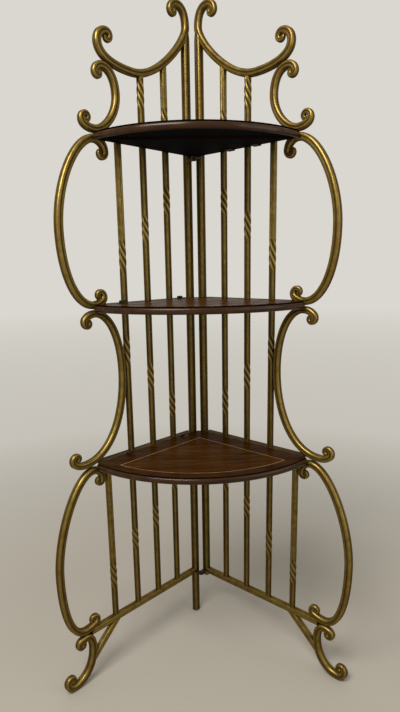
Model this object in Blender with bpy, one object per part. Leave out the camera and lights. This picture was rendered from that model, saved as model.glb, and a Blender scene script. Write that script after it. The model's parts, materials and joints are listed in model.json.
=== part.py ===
# Folding corner stand: two scrolled brass panels at a right angle, three quarter-round shelves.
# Metres, +Z up. The origin is on the floor under the middle of the stand, and the front faces -Y.
# Each panel is drawn in its own plane: u runs out from the corner, n points into the corner, z is up.
import math

import bmesh
import bpy
from mathutils import Matrix, Vector

# Clearance kept between pieces that touch
gap = 0.0003

# Tubes, as half widths
post_radius = 0.012
bar_radius = 0.0086
scroll_radius = 0.0104
scroll_tip_radius = 0.0058
scroll_taper = 0.062
base_rail_radius = 0.0105
brace_radius = 0.0098

# Distance of each upright from the corner
post_place = 0.0259
bar_places = (0.111, 0.1925, 0.2746, 0.3595)

# Heights above the floor
base_rail_height = 0.147
shelf_heights = {"bottom": 0.625, "middle": 1.033, "top": 1.434}
rear_leg_end = 0.0
right_post_drop = 0.0165

# Shelves: quarter discs set in from both panels
shelf_inset = 0.0265
shelf_radii = {"bottom": 0.3785, "middle": 0.358, "top": 0.332}
shelf_thickness = 0.017
shelf_lip = 0.004
shelf_bead = 0.002
shelf_undercut = 0.009
shelf_steps = 28

# Flat punched rails at the shelves, and the ledges that carry the right edges
flat_rail_width = 0.0244
flat_rail_thickness = 0.006
ledge_places = (0.15, 0.235)
ledge_length = 0.02
ledge_reach = 0.026
ledge_thickness = 0.002

# Shelf hinges on the left panel
leaf_thickness = 0.0013
knuckle_radius = 0.0036
shelf_pin_radius = 0.0018
hinge_length = 0.016
hinge_knuckle = 0.0054
leaf_width = 0.0135
hinge_axis_inset = 0.0195
hinge_places = {"near": 0.0885, "far": 0.2985}

# Corner hinges between the panels
corner_axis_inset = 0.0297
lug_half_width = 0.007
lug_thickness = 0.0045
corner_pin_radius = 0.003
pin_head_radius = 0.0048
pin_head_height = 0.001
low_hinge_above_rail = 0.0
high_hinge_below_shelf = 0.0015

# Where one scroll stands on the next, measured from the nearest rail or shelf top
foot_joint_rise = 0.0
bottom_joint_drop = 0.0103
middle_joint_drop = 0.0122
top_joint_drop = 0.001

# Crest scroll: its low point above the top shelf, the bend at the post, the hook over that, the far end
crest_low_place = 0.216
crest_low_rise = 0.1577
crest_bend_rise = 0.1475
crest_hook_place = 0.061
crest_hook_rise = 0.0486
crest_end_place = 0.3217
crest_end_rise = 0.0462
crest_scarf = 0.0015

# Where the other scrolls bend: how far out, and how high above the shelf or rail below
small_top_place = 0.3155
small_belly_place = 0.2732
small_belly_rise = 0.094
top_joint_place = 0.3465
upper_belly_place = 0.4605
upper_belly_rise = 0.177
middle_joint_place = 0.3742
inner_belly_rise = 0.2235
inner_base_place = 0.4345
lower_hook_ahead = 0.029
lower_belly_place = 0.5295
lower_belly_rise = 0.197
foot_joint_place = 0.4635
foot_neck_place = 0.4436
foot_neck_drop = 0.049
foot_base_place = 0.5125

# Curls: how far each runs on, how far it turns aside, then its roll and tip radii
curls = {
    "crest_hook": (0.0205, 0.0179, 0.0105, 0.0085),
    "crest_end": (0.0265, 0.0285, 0.0125, 0.009),
    "small_top": (0.0187, 0.017, 0.0095, 0.0078),
    "small_base": (0.0329, 0.0178, 0.0145, 0.009),
    "upper_top": (0.0318, 0.029, 0.0118, 0.008),
    "upper_base": (0.0327, 0.0197, 0.0135, 0.009),
    "inner_top": (0.0332, 0.0202, 0.0115, 0.008),
    "inner_base": (0.0325, 0.0185, 0.0145, 0.009),
    "lower_top": (lower_hook_ahead, 0.0307, 0.0105, 0.008),
    "lower_base": (0.0395, 0.0165, 0.0125, 0.009),
    "foot_top": (0.0235, 0.0152, 0.0105, 0.008),
    "foot_base": (0.0189, 0.02, 0.0127, 0.01),
}

# Handle lengths at the start and finish of each quarter bend: 0.5523 twice draws an ellipse
sweeps = {
    "crest_neck": (0.576, 0.7507),
    "crest_fall": (0.2303, 0.4412),
    "crest_rise": (0.5023, 0.743),
    "small_head": (0.6317, 0.6016),
    "small_base": (0.5181, 0.4581),
    "upper_head": (0.4517, 0.5048),
    "upper_base": (0.6004, 0.5656),
    "inner_head": (0.5973, 0.5766),
    "inner_base": (0.5301, 0.6207),
    "lower_head": (0.4351, 0.4594),
    "lower_base": (0.5254, 0.7228),
    "foot_head": (0.5829, 0.5238),
    "foot_base": (0.5052, 0.6494),
}

# Mesh fineness
tube_sides = 8
curl_step = math.radians(22.5)
bend_steps = 7
pin_sides = 12

diagonal = math.sqrt(0.5)
corner_depth = (
    shelf_inset / diagonal + shelf_radii["bottom"] + post_place * diagonal - post_radius
) / 2


def clear_scene():
    for item in list(bpy.data.objects):
        bpy.data.objects.remove(item, do_unlink=True)


def make_material(name, colour, roughness, metallic):
    material = bpy.data.materials.new(name)
    material.use_nodes = True
    shader = material.node_tree.nodes["Principled BSDF"]
    shader.inputs["Base Color"].default_value = (*colour, 1.0)
    shader.inputs["Roughness"].default_value = roughness
    shader.inputs["Metallic"].default_value = metallic
    return material


def make_empty(name, place, turn=0.0, parent=None):
    empty = bpy.data.objects.new(name, None)
    bpy.context.collection.objects.link(empty)
    empty.location = place
    empty.rotation_euler = (0.0, 0.0, turn)
    empty.parent = parent
    return empty


def make_object(name, verts, faces, material=None, parent=None, smooth=False):
    mesh = bpy.data.meshes.new(name)
    mesh.from_pydata(verts, [], faces)
    shape = bmesh.new()
    shape.from_mesh(mesh)
    bmesh.ops.recalc_face_normals(shape, faces=shape.faces)
    shape.to_mesh(mesh)
    shape.free()
    if smooth:
        mesh.shade_smooth()
        mesh.set_sharp_from_angle(angle=math.radians(50))
    item = bpy.data.objects.new(name, mesh)
    bpy.context.collection.objects.link(item)
    item.parent = parent
    if material:
        mesh.materials.append(material)
    else:
        # Without a material it only shapes other pieces
        item.hide_render = True
        item.display_type = "WIRE"
    return item


def combine(item, tool, operation):
    modifier = item.modifiers.new(operation.lower(), "BOOLEAN")
    modifier.operation = operation
    modifier.solver = "EXACT"
    modifier.object = tool


# Paths in a panel's plane, as lists of (u, z)
def bend(start, finish, start_level, name):
    # A quarter turn from one extreme to the next, level at one end and upright at the other
    leave, arrive = sweeps[name]
    du = finish[0] - start[0]
    dz = finish[1] - start[1]
    if start_level:
        first = (start[0] + du * leave, start[1])
        second = (finish[0], finish[1] - dz * arrive)
    else:
        first = (start[0], start[1] + dz * leave)
        second = (finish[0] - du * arrive, finish[1])
    points = []
    for step in range(1, bend_steps + 1):
        t = step / bend_steps
        weights = ((1 - t) ** 3, 3 * t * (1 - t) ** 2, 3 * t * t * (1 - t), t ** 3)
        corners = (start, first, second, finish)
        points.append(tuple(sum(w * c[i] for w, c in zip(weights, corners)) for i in (0, 1)))
    return points


def arc(start, heading, radius, angle, turn):
    # Points along a circular arc, and the heading at its end
    steps = max(1, round(abs(angle) / curl_step))
    side = heading + turn * math.pi / 2
    centre = (start[0] + radius * math.cos(side), start[1] + radius * math.sin(side))
    points = []
    for step in range(1, steps + 1):
        direction = side + math.pi + turn * angle * step / steps
        points.append((centre[0] + radius * math.cos(direction), centre[1] + radius * math.sin(direction)))
    return points, heading + turn * angle


def curl(name, start, heading, turn):
    # A wide arc runs into the roll, which turns a quarter further and closes with a tighter tip
    ahead, aside, roll, tip = curls[name]
    roll = min(roll, 0.98 * min(ahead, aside))
    spread = 2 * math.atan2(aside - roll, ahead - roll)
    wide = roll + (ahead - roll) / math.sin(spread)
    points = []
    for radius, angle in ((wide, spread), (roll, math.pi - spread), (tip, math.pi / 2)):
        run, heading = arc(points[-1] if points else start, heading, radius, angle, turn)
        points += run
    return points


def scroll_paths():
    # The tubes of neighbouring scrolls touch at these heights, half a gap away on each side
    lift = scroll_radius + gap / 2
    foot_joint = base_rail_height + foot_joint_rise
    bottom_joint = shelf_heights["bottom"] - bottom_joint_drop
    middle_joint = shelf_heights["middle"] - middle_joint_drop
    top_joint = shelf_heights["top"] - top_joint_drop
    hook_place = bar_places[3] + bar_radius + gap + scroll_radius
    inner_belly = bar_places[2] + bar_radius + gap + scroll_radius
    crest_low = shelf_heights["top"] + crest_low_rise
    crest_bend = crest_low + crest_bend_rise
    # The crest's neck is flush with the post on the corner's side
    neck_place = post_place - post_radius + scroll_radius
    left, right = math.pi, 0.0
    up = math.pi / 2

    def build(first_curl, extremes, last_curl):
        # Extremes alternate: level, upright, level and so on
        name, heading, turn = first_curl
        points = curl(name, extremes[0][0], heading, turn)[::-1] + [extremes[0][0]]
        level = True
        for (start, _), (finish, sweep) in zip(extremes, extremes[1:]):
            points += bend(start, finish, level, sweep)
            level = not level
        name, heading, turn = last_curl
        return points + curl(name, extremes[-1][0], heading, turn)

    crest = build(
        ("crest_hook", right, -1),
        [
            ((crest_hook_place, crest_bend + crest_hook_rise), None),
            ((neck_place, crest_bend), "crest_neck"),
            ((crest_low_place, crest_low), "crest_fall"),
            ((crest_end_place, crest_low + crest_end_rise), "crest_rise"),
        ],
        ("crest_end", up, 1),
    )

    def small_scroll(small_top):
        return build(
            ("small_top", right, -1),
            [
                ((small_top_place, small_top), None),
                ((small_belly_place, shelf_heights["top"] + small_belly_rise), "small_head"),
                ((top_joint_place, top_joint + lift), "small_base"),
            ],
            ("small_base", right, 1),
        )

    small = small_scroll(seat_under(crest, small_scroll))
    upper = build(
        ("upper_top", left, 1),
        [
            ((top_joint_place, top_joint - lift), None),
            ((upper_belly_place, shelf_heights["middle"] + upper_belly_rise), "upper_head"),
            ((middle_joint_place, middle_joint + lift), "upper_base"),
        ],
        ("upper_base", left, -1),
    )
    inner = build(
        ("inner_top", right, -1),
        [
            ((middle_joint_place, middle_joint - lift), None),
            ((inner_belly, shelf_heights["bottom"] + inner_belly_rise), "inner_head"),
            ((inner_base_place, bottom_joint + lift), "inner_base"),
        ],
        ("inner_base", right, 1),
    )
    lower = build(
        ("lower_top", left, 1),
        [
            ((hook_place + lower_hook_ahead, bottom_joint - lift), None),
            ((lower_belly_place, base_rail_height + lower_belly_rise), "lower_head"),
            ((foot_joint_place, foot_joint + lift), "lower_base"),
        ],
        ("lower_base", left, -1),
    )
    foot = build(
        ("foot_top", right, -1),
        [
            ((foot_joint_place, foot_joint - lift), None),
            ((foot_neck_place, base_rail_height - foot_neck_drop), "foot_head"),
            ((foot_base_place, scroll_radius), "foot_base"),
        ],
        ("foot_base", right, 1),
    )
    return {"crest": crest, "small": small, "upper": upper, "inner": inner, "lower": lower, "foot": foot}


def lengths_along(path):
    lengths = [0.0]
    for start, finish in zip(path, path[1:]):
        lengths.append(lengths[-1] + math.dist(start, finish))
    return lengths


def height_on(path, place):
    # The lowest crossing of the path above a given place
    heights = []
    for (u0, z0), (u1, z1) in zip(path, path[1:]):
        if min(u0, u1) <= place <= max(u0, u1) and u0 != u1:
            heights.append(z0 + (z1 - z0) * (place - u0) / (u1 - u0))
    return min(heights)


def points_along(path):
    points = []
    for (u0, z0), (u1, z1) in zip(path, path[1:]):
        points += [(u0 + (u1 - u0) * part / 10, z0 + (z1 - z0) * part / 10) for part in range(10)]
    return points


def seat_under(path, draw):
    # How high the scroll drawn from its top height can stand before it touches the path's tube
    reach = 2 * scroll_radius + gap
    above = points_along(path)
    low = shelf_heights["top"] + small_belly_rise
    high = max(z for _, z in path)
    while high - low > gap / 10:
        middle = (low + high) / 2
        clear = all(math.dist(a, b) > reach for a in points_along(draw(middle)) for b in above)
        low, high = (middle, high) if clear else (low, middle)
    return low


def free_end(paths, height, half_height):
    # How far out a rail can run before it comes within a gap of any scroll
    reach = scroll_radius + gap
    ends = []
    for path in paths:
        for (u0, z0), (u1, z1) in zip(path, path[1:]):
            for part in range(10):
                u = u0 + (u1 - u0) * part / 10
                z = z0 + (z1 - z0) * part / 10
                aside = max(0.0, abs(z - height) - half_height)
                if aside < reach:
                    ends.append(u - math.sqrt(reach * reach - aside * aside))
    return min(ends)


class Panel:
    # One side frame; its empty stands on the corner hinge axis
    def __init__(self, name, mirror, turn):
        self.name = name
        self.mirror = mirror
        axis = (0.0, corner_depth - corner_axis_inset / diagonal, 0.0)
        self.empty = make_empty(name + "_panel_axis", axis, turn)

    def place(self, u, n, z):
        return (u - corner_axis_inset, self.mirror * (n - corner_axis_inset), z)

    def tube(self, name, path, radii, material=None, taper_ends=False):
        # Sweeps a ring whose flats face across and along the panel
        ring = []
        spread = 1 / math.cos(math.pi / tube_sides)
        for side in range(tube_sides):
            angle = math.pi * (2 * side + 1) / tube_sides
            ring.append((spread * math.cos(angle), spread * math.sin(angle)))
        path, radii = list(path), list(radii)
        if taper_ends:
            path, radii = round_ends(path, radii)
        verts, faces = [], []
        for index, ((u, z), radius) in enumerate(zip(path, radii)):
            before = path[max(index - 1, 0)]
            after = path[min(index + 1, len(path) - 1)]
            along = Vector((after[0] - before[0], after[1] - before[1])).normalized()
            for across, out in ring:
                shift = across * radius
                verts.append(self.place(u - along.y * shift, out * radius, z + along.x * shift))
        for index in range(len(path) - 1):
            for side in range(tube_sides):
                a = index * tube_sides + side
                b = index * tube_sides + (side + 1) % tube_sides
                faces.append((a, b, b + tube_sides, a + tube_sides))
        faces.append(tuple(range(tube_sides)))
        faces.append(tuple(range(len(verts) - tube_sides, len(verts))))
        return make_object(name, verts, faces, material, self.empty, smooth=True)

    def straight(self, name, start, finish, radius, material=None):
        return self.tube(name, [start, finish], [radius, radius], material)

    def slab(self, name, outline, low, high, material=None):
        # An outline of (u, n) points raised from one height to another
        verts = [self.place(u, n, z) for z in (low, high) for u, n in outline]
        return make_object(name, verts, prism_faces(len(outline)), material, self.empty)

    def channel(self, name, outline, start, finish, material=None, parent=None):
        # An outline of (n, z) points drawn out along the panel
        verts = [self.place(u, n, z) for u in (start, finish) for n, z in outline]
        item = make_object(name, verts, prism_faces(len(outline)), material, self.empty)
        if parent:
            item.data.transform(Matrix.Translation(-parent.location))
            item.parent = parent
        return item


def round_ends(path, radii):
    # Two shrinking rings close each end like a ball
    def cap(end, inner, radius):
        away = Vector((end[0] - inner[0], end[1] - inner[1])).normalized()
        rounds = []
        for share in (math.radians(40), math.radians(70)):
            ahead = radius * math.sin(share)
            rounds.append(((end[0] + away.x * ahead, end[1] + away.y * ahead), radius * math.cos(share)))
        return rounds

    first = cap(path[0], path[1], radii[0])[::-1]
    last = cap(path[-1], path[-2], radii[-1])
    path = [point for point, _ in first] + path + [point for point, _ in last]
    radii = [radius for _, radius in first] + radii + [radius for _, radius in last]
    return path, radii


def prism_faces(count):
    faces = [tuple(range(count)), tuple(range(count, 2 * count))]
    for index in range(count):
        after = (index + 1) % count
        faces.append((index, after, after + count, index + count))
    return faces


def circle_outline(centre, radius, sides, start=0.0, sweep=2 * math.pi):
    closed = sweep >= 2 * math.pi
    steps = sides if closed else sides + 1
    points = []
    for step in range(steps):
        angle = start + sweep * step / sides
        points.append((centre[0] + radius * math.cos(angle), centre[1] + radius * math.sin(angle)))
    return points


def scroll_radii(path):
    lengths = lengths_along(path)
    radii = []
    for length in lengths:
        from_tip = min(length, lengths[-1] - length)
        share = min(1.0, from_tip / scroll_taper)
        radii.append(scroll_tip_radius + (scroll_radius - scroll_tip_radius) * share)
    return radii


def make_panel(panel, paths, brass):
    scrolls, cutters = {}, {}
    for name, path in paths.items():
        radii = scroll_radii(path)
        scrolls[name] = panel.tube(f"{panel.name}_{name}_scroll", path, radii, brass, taper_ends=True)
        wider = [radius + gap for radius in radii]
        cutters[name] = panel.tube(f"cut_{panel.name}_{name}", path, wider, taper_ends=True)
    combine(scrolls["small"], cutters["crest"], "DIFFERENCE")

    low_end = rear_leg_end if panel.name == "left" else base_rail_height - right_post_drop
    # The post ends where the crest tube, cut into it, comes out through its outer side
    scarf_place = post_place + post_radius - scroll_radius + crest_scarf
    post_top = height_on(paths["crest"], scarf_place)
    post = panel.straight(
        f"{panel.name}_post", (post_place, low_end), (post_place, post_top), post_radius, brass
    )
    combine(post, cutters["crest"], "DIFFERENCE")

    rail_start = post_place + post_radius + gap
    base_end = free_end([paths["lower"], paths["foot"]], base_rail_height, base_rail_radius)
    rail_line = [(rail_start, base_rail_height), (base_end, base_rail_height)]
    panel.straight(f"{panel.name}_base_rail", *rail_line, base_rail_radius, brass)
    rail_cutter = panel.straight(f"cut_{panel.name}_base_rail", *rail_line, base_rail_radius + gap)

    bar_cutters = []
    tops = [
        height_on(paths["crest"], bar_places[0]),
        height_on(paths["crest"], bar_places[1]),
        shelf_heights["top"] - flat_rail_thickness - gap,
        shelf_heights["bottom"] - flat_rail_thickness - gap,
    ]
    for index, (place, top) in enumerate(zip(bar_places, tops)):
        line = [(place, base_rail_height), (place, top)]
        bar = panel.straight(f"{panel.name}_bar_{index + 1}", *line, bar_radius, brass)
        combine(bar, rail_cutter, "DIFFERENCE")
        if index < 2:
            combine(bar, cutters["crest"], "DIFFERENCE")
        if index < 3:
            bar_cutters.append(panel.straight(f"cut_{panel.name}_bar_{index + 1}", *line, bar_radius + gap))

    neighbours = {
        "bottom": (["lower", "inner"], bar_cutters),
        "middle": (["inner", "upper"], bar_cutters),
        "top": (["upper", "small"], bar_cutters[:2]),
    }
    for level, (names, holes) in neighbours.items():
        make_flat_rail(panel, level, [paths[name] for name in names], holes, brass)

    brace_start = (bar_places[3] - bar_radius, base_rail_height)
    brace_end = foot_point(paths["foot"])
    brace = panel.straight(f"{panel.name}_brace", brace_start, brace_end, brace_radius, brass)
    combine(brace, rail_cutter, "DIFFERENCE")
    combine(brace, cutters["foot"], "DIFFERENCE")


def foot_point(foot):
    # The brace meets the foot halfway down from its neck to the floor
    neck = base_rail_height - foot_neck_drop
    middle = (neck + scroll_radius) / 2
    points = [point for point in foot if point[0] < foot_base_place and point[1] <= neck]
    return min(points, key=lambda point: abs(point[1] - middle))


def make_flat_rail(panel, level, paths, holes, brass):
    top = shelf_heights[level]
    low = top - flat_rail_thickness
    half = flat_rail_width / 2
    start = post_place + post_radius + gap
    end = free_end(paths, (top + low) / 2, flat_rail_thickness / 2)
    outline = [(start, -half), (end, -half), (end, half), (start, half)]
    rail = panel.slab(f"{panel.name}_{level}_rail", outline, low, top, brass)
    for hole in holes:
        combine(rail, hole, "DIFFERENCE")
    if panel.name == "right":
        # Each ledge hangs from the rail's front edge and reaches under the shelf
        seat = top - shelf_thickness - gap
        under = seat - ledge_thickness
        face = half + ledge_thickness
        lip = half - ledge_thickness
        section = [(lip, low), (lip, top), (face, top), (face, seat)]
        section += [(half + ledge_reach, seat), (half + ledge_reach, under), (half, under), (half, low)]
        for index, place in enumerate(ledge_places):
            name = f"add_{level}_ledge_{index + 1}"
            ledge = panel.channel(name, section, place - ledge_length / 2, place + ledge_length / 2)
            combine(rail, ledge, "UNION")


def make_shelf(level, axis, mahogany):
    radius = shelf_radii[level]
    across = shelf_inset - hinge_axis_inset
    top = shelf_heights[level] - axis_height(level)
    # The front edge: a lip, a rounded nose, then a bead over a stepped underside
    profile = [
        (-shelf_lip, 0.0),
        (-0.3 * shelf_lip, -0.12 * shelf_thickness),
        (0.0, -0.3 * shelf_thickness),
        (0.0, -0.5 * shelf_thickness),
        (-shelf_bead, -0.68 * shelf_thickness),
        (-shelf_undercut, -shelf_thickness),
    ]
    verts = []
    for offset, drop in profile:
        verts.append((0.0, across, top + drop))
        for step in range(shelf_steps + 1):
            angle = math.pi / 2 * step / shelf_steps
            reach = radius + offset
            verts.append((reach * math.cos(angle), across + reach * math.sin(angle), top + drop))
    count = shelf_steps + 2
    faces = [tuple(range(count)), tuple(range(len(verts) - count, len(verts)))]
    for row in range(len(profile) - 1):
        for index in range(count):
            a = row * count + index
            b = row * count + (index + 1) % count
            faces.append((a, b, b + count, a + count))
    make_object(f"shelf_{level}", verts, faces, mahogany, axis, smooth=True)


def axis_height(level):
    # The knuckles stand a gap above the shelf and the rail
    return shelf_heights[level] + gap + knuckle_radius


def leaf_outline(level, reach, side):
    # A flat leaf that rolls round the pin in a knuckle open at the leaf's own side
    centre = (0.0, 0.0)
    outer = circle_outline(centre, knuckle_radius, 7, -math.pi / 2, math.radians(300))
    inner = circle_outline(centre, knuckle_radius - leaf_thickness, 7, -math.pi / 2, math.radians(300))
    points = outer + inner[::-1]
    points += [(-reach, leaf_thickness - knuckle_radius), (-reach, -knuckle_radius)]
    return [(hinge_axis_inset + side * n, axis_height(level) + z) for n, z in points]


def make_shelf_hinge(panel, level, end, axis, steel):
    place = hinge_places[end]
    start, finish = place - hinge_length / 2, place + hinge_length / 2
    knuckle_start, knuckle_finish = place - hinge_knuckle / 2, place + hinge_knuckle / 2
    clear = knuckle_radius + gap
    height = axis_height(level)
    low, high = height - 2 * clear, height + 2 * clear
    notch = [
        (hinge_axis_inset - clear, low),
        (hinge_axis_inset + clear, low),
        (hinge_axis_inset + clear, high),
        (hinge_axis_inset - clear, high),
    ]
    name = f"{level}_{end}_hinge"

    fixed = panel.channel(f"{name}_fixed_leaf", leaf_outline(level, leaf_width, 1), start, finish, steel)
    before = (start - gap, knuckle_start + gap / 2)
    after = (knuckle_finish - gap / 2, finish + gap)
    for index, (low_end, high_end) in enumerate((before, after)):
        combine(fixed, panel.channel(f"cut_{name}_{index}", notch, low_end, high_end), "DIFFERENCE")

    outline = leaf_outline(level, leaf_width, -1)
    moving = panel.channel(f"{name}_moving_leaf", outline, start, finish, steel, axis)
    middle = (knuckle_start - gap / 2, knuckle_finish + gap / 2)
    combine(moving, panel.channel(f"cut_{name}_middle", notch, *middle, None, axis), "DIFFERENCE")

    pin = circle_outline((hinge_axis_inset, height), shelf_pin_radius, tube_sides)
    panel.channel(f"{name}_pin", pin, start, finish, steel)


def make_lug(panel, name, low, pin_tool, steel):
    # A plate from the post's inner face to a round eye on the corner axis
    eye = circle_outline((corner_axis_inset, corner_axis_inset), lug_half_width, 8, 0.0, math.pi)
    seat = post_radius + gap
    outline = [(corner_axis_inset - lug_half_width, seat), (corner_axis_inset + lug_half_width, seat)]
    plate = panel.slab(name, outline + eye, low, low + lug_thickness, steel)
    combine(plate, pin_tool, "DIFFERENCE")


def make_corner_hinge(left, right, name, low, steel):
    # The left lug lies below the right one, on a pin with a head at each end
    stack = 2 * lug_thickness + 3 * gap
    centre = (corner_axis_inset, corner_axis_inset)
    bottom, top = low + pin_head_height, low + pin_head_height + stack
    hole = circle_outline(centre, corner_pin_radius + gap, pin_sides)
    tool = left.slab(f"cut_corner_{name}", hole, low, top + pin_head_height)
    make_lug(left, f"corner_{name}_left_lug", bottom + gap, tool, steel)
    make_lug(right, f"corner_{name}_right_lug", bottom + 2 * gap + lug_thickness, tool, steel)
    verts = []
    levels = [
        (pin_head_radius, low),
        (pin_head_radius, bottom),
        (corner_pin_radius, bottom),
        (corner_pin_radius, top),
        (pin_head_radius, top),
        (pin_head_radius, top + pin_head_height),
    ]
    for radius, height in levels:
        verts += [left.place(u, n, height) for u, n in circle_outline(centre, radius, pin_sides)]
    faces = [tuple(range(pin_sides)), tuple(range(len(verts) - pin_sides, len(verts)))]
    for row in range(len(levels) - 1):
        for index in range(pin_sides):
            a = row * pin_sides + index
            b = row * pin_sides + (index + 1) % pin_sides
            faces.append((a, b, b + pin_sides, a + pin_sides))
    make_object(f"corner_{name}_pin", verts, faces, steel, left.empty, smooth=True)


def main():
    clear_scene()
    brass = make_material("antique_brass", (0.29, 0.20, 0.085), 0.42, 0.85)
    mahogany = make_material("dark_mahogany", (0.055, 0.018, 0.008), 0.28, 0.0)
    steel = make_material("dark_hinge_metal", (0.10, 0.08, 0.06), 0.5, 0.9)

    left = Panel("left", 1, math.radians(225))
    right = Panel("right", -1, math.radians(-45))
    paths = scroll_paths()
    make_panel(left, paths, brass)
    make_panel(right, paths, brass)

    for level in shelf_heights:
        place = left.place(shelf_inset, hinge_axis_inset, axis_height(level))
        axis = make_empty(f"shelf_{level}_axis", place, 0.0, left.empty)
        make_shelf(level, axis, mahogany)
        for end in hinge_places:
            make_shelf_hinge(left, level, end, axis, steel)

    stack = 2 * pin_head_height + 2 * lug_thickness + 3 * gap
    low_hinge = base_rail_height + low_hinge_above_rail - stack / 2
    high_hinge = shelf_heights["top"] - shelf_thickness - high_hinge_below_shelf - stack
    make_corner_hinge(left, right, "low", low_hinge, steel)
    make_corner_hinge(left, right, "high", high_hinge, steel)


main()
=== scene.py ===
# Looks for the folding corner stand: fluted brass tubes, inlaid shelves, dark hinges
import json
import math

import bpy
from mathutils import Matrix, Vector

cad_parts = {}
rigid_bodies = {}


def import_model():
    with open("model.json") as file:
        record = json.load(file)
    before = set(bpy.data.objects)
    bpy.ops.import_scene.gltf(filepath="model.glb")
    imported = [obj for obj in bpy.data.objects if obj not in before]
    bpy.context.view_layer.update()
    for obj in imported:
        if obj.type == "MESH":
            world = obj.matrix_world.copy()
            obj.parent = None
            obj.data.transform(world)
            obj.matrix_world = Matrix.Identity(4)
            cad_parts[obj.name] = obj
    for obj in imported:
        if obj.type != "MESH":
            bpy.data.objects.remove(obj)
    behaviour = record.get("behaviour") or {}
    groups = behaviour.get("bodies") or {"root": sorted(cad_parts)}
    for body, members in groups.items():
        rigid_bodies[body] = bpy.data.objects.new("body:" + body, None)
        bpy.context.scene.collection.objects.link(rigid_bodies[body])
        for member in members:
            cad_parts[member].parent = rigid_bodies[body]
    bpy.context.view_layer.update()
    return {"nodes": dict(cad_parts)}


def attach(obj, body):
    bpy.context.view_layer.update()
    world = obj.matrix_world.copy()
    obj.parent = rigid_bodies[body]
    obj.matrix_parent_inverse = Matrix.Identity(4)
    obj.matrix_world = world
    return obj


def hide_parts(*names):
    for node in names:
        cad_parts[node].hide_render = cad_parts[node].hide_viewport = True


for spare in list(bpy.data.objects):
    bpy.data.objects.remove(spare, do_unlink=True)
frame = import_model()
print("frame loaded:", len(frame["nodes"]), "solids")

diagonal = math.sqrt(0.5)

# The stand's own sizes, as its solids have them (metres)
stand = {
    "gap": 0.0003,
    "postRadius": 0.012,
    "barRadius": 0.0086,
    "scrollRadius": 0.0104,
    "baseRailRadius": 0.0105,
    "braceRadius": 0.0098,
    "postPlace": 0.0259,
    "barPlaces": (0.111, 0.1925, 0.2746, 0.3595),
    "baseRailHeight": 0.147,
    "shelfHeights": {"bottom": 0.625, "middle": 1.033, "top": 1.434},
    "shelfRadii": {"bottom": 0.3785, "middle": 0.358, "top": 0.332},
    "shelfInset": 0.0265,
    "shelfThickness": 0.017,
    "railThickness": 0.006,
    "rightPostDrop": 0.0165,
}
cornerDepth = (
    stand["shelfInset"] / diagonal
    + stand["shelfRadii"]["bottom"]
    + stand["postPlace"] * diagonal
    - stand["postRadius"]
) / 2


class Wire:
    # one shader socket; sums and products of wires add the Math nodes
    def __init__(self, tree, socket):
        self.tree = tree
        self.socket = socket

    def maths(self, operation, *others):
        values = {i: value for i, value in enumerate((self, *others))}
        return addNode(self.tree, "ShaderNodeMath", {"operation": operation}, values)

    def __add__(self, other):
        return self.maths("ADD", other)

    __radd__ = __add__

    def __mul__(self, other):
        return self.maths("MULTIPLY", other)

    __rmul__ = __mul__

    def __sub__(self, other):
        return self.maths("SUBTRACT", other)

    def __rsub__(self, other):
        return addNode(self.tree, "ShaderNodeMath", {"operation": "SUBTRACT"}, {0: other, 1: self})

    def __pow__(self, other):
        return self.maths("POWER", other)


def setInputs(tree, node, values):
    # a wire is linked to its socket; a number or a colour is written there
    for name, value in values.items():
        if isinstance(value, Wire):
            tree.links.new(value.socket, node.inputs[name])
        else:
            node.inputs[name].default_value = value


def addNode(tree, kind, settings=None, values=None, out=0):
    node = tree.nodes.new(kind)
    for name, value in (settings or {}).items():
        if name == "stops":
            ramp = node.color_ramp
            while len(ramp.elements) < len(value):
                ramp.elements.new(0.5)
            for stop, (place, colour) in zip(ramp.elements, value):
                stop.position = place
                stop.color = (*colour, 1.0)
        else:
            setattr(node, name, value)
    setInputs(tree, node, values or {})
    return Wire(tree, node.outputs[out])


def mixColours(tree, factor, first, second, blend="MIX"):
    # sockets 0, 6, 7 and output 2 are the colour ones of a Mix node
    first = (*first, 1.0) if isinstance(first, tuple) else first
    second = (*second, 1.0) if isinstance(second, tuple) else second
    settings = {"data_type": "RGBA", "blend_type": blend, "clamp_factor": True}
    return addNode(tree, "ShaderNodeMix", settings, {0: factor, 6: first, 7: second}, out=2)


def newMaterial(name):
    material = bpy.data.materials.new(name)
    material.use_nodes = True
    tree = material.node_tree
    return material, tree, tree.nodes["Principled BSDF"]


noiseRoughness = 0.55


def objectNoise(tree, scale, detail=3.0, stretch=None, turn=0.0):
    # a noise in the piece's own space, drawn out and turned where it has a stretch
    place = addNode(tree, "ShaderNodeTexCoord", out="Object")
    if stretch:
        values = {"Vector": place, "Rotation": (0.0, 0.0, turn), "Scale": stretch}
        place = addNode(tree, "ShaderNodeMapping", None, values)
    values = {"Vector": place, "Scale": scale, "Detail": detail, "Roughness": noiseRoughness}
    return addNode(tree, "ShaderNodeTexNoise", None, values)


def spread(wire, low, high):
    # stretches the middle of a noise to the whole of 0 to 1
    values = {"Value": wire, "From Min": low, "From Max": high}
    return addNode(wire.tree, "ShaderNodeMapRange", {"clamp": True}, values)


def meshShare(tree, name):
    # a number that the mesh holds at each point, from 0 to 1
    return addNode(tree, "ShaderNodeAttribute", {"attribute_name": name}, out=2)


def bumpNormal(tree, distance, height):
    values = {"Strength": 1.0, "Distance": distance, "Height": height}
    return addNode(tree, "ShaderNodeBump", None, values)


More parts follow.
